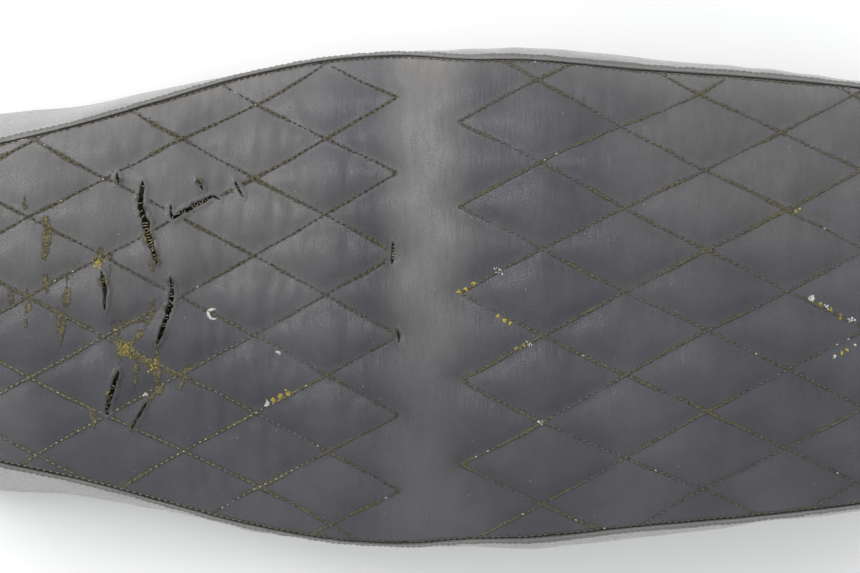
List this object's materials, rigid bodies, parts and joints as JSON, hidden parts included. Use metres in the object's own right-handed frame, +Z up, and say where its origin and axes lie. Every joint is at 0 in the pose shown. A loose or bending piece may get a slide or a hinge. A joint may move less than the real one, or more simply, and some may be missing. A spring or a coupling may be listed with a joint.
{
  "type": "motorcycle seat",
  "caption": "Two-up motorcycle bench seat with a quilted vinyl cover over foam on a moulded pan, hinged at the nose, with a latch striker at the tail and rubber buffers.",
  "frame": {"origin": "middle of the overall length and width, on the plane that the rubber buffers stand on", "axes": "+X from the nose to the tail, +Y to the rider's right, +Z up"},
  "size_m": [0.724, 0.2844, 0.13],
  "materials": {
    "quilted_vinyl": "faded satin vinyl with grain, quilted and worn",
    "side_vinyl": "faded satin vinyl with grain",
    "stitch_thread": "twisted polyester thread",
    "cushion_foam": "open-cell polyurethane foam",
    "wadding_fibre": "fibre wadding",
    "moss_growth": "dry moss and lichen",
    "pan_plastic": "moulded, fine texture",
    "buffer_rubber": "matt moulded rubber",
    "bracket_steel": "satin black paint, chipped at edges",
    "plated_steel": "zinc plated",
    "striker_steel": "bright rod, dulled",
    "staple_wire": "bright wire",
    "nylon": "natural nylon"
  },
  "bodies": {
    "frame_hinge": {"hinge_frame_bracket": "bracket_steel", "hinge_pin": "plated_steel", "hinge_pin_clip": "staple_wire"},
    "seat": {"base_pan": "pan_plastic", "front_stiffener_plate": "plated_steel", "rear_stiffener_plate": "plated_steel", "seat_foam": "cushion_foam", "quilt_wadding": "wadding_fibre", "top_panel": "quilted_vinyl", "side_panel_left": "side_vinyl", "side_panel_right": "side_vinyl", "hem_staples": "staple_wire", "buffer_front_left": "buffer_rubber", "buffer_front_right": "buffer_rubber", "buffer_middle_left": "buffer_rubber", "buffer_middle_right": "buffer_rubber", "buffer_rear_left": "buffer_rubber", "buffer_rear_right": "buffer_rubber", "hinge_seat_bracket": "bracket_steel", "hinge_bush_left": "nylon", "hinge_bush_right": "nylon", "hinge_bolts": "plated_steel", "hinge_washers": "plated_steel", "hinge_nuts": "plated_steel", "striker_loop": "striker_steel", "striker_upper_nuts": "plated_steel", "striker_lower_nuts": "plated_steel", "striker_washers": "plated_steel"}
  },
  "joints": [
    {"name": "seat_opening", "type": "hinge", "parent": "frame_hinge", "child": "seat", "pos_m": [-0.33, 0, 0.008], "axis": [0, -1, 0], "range_deg": [0, 75]}
  ]
}
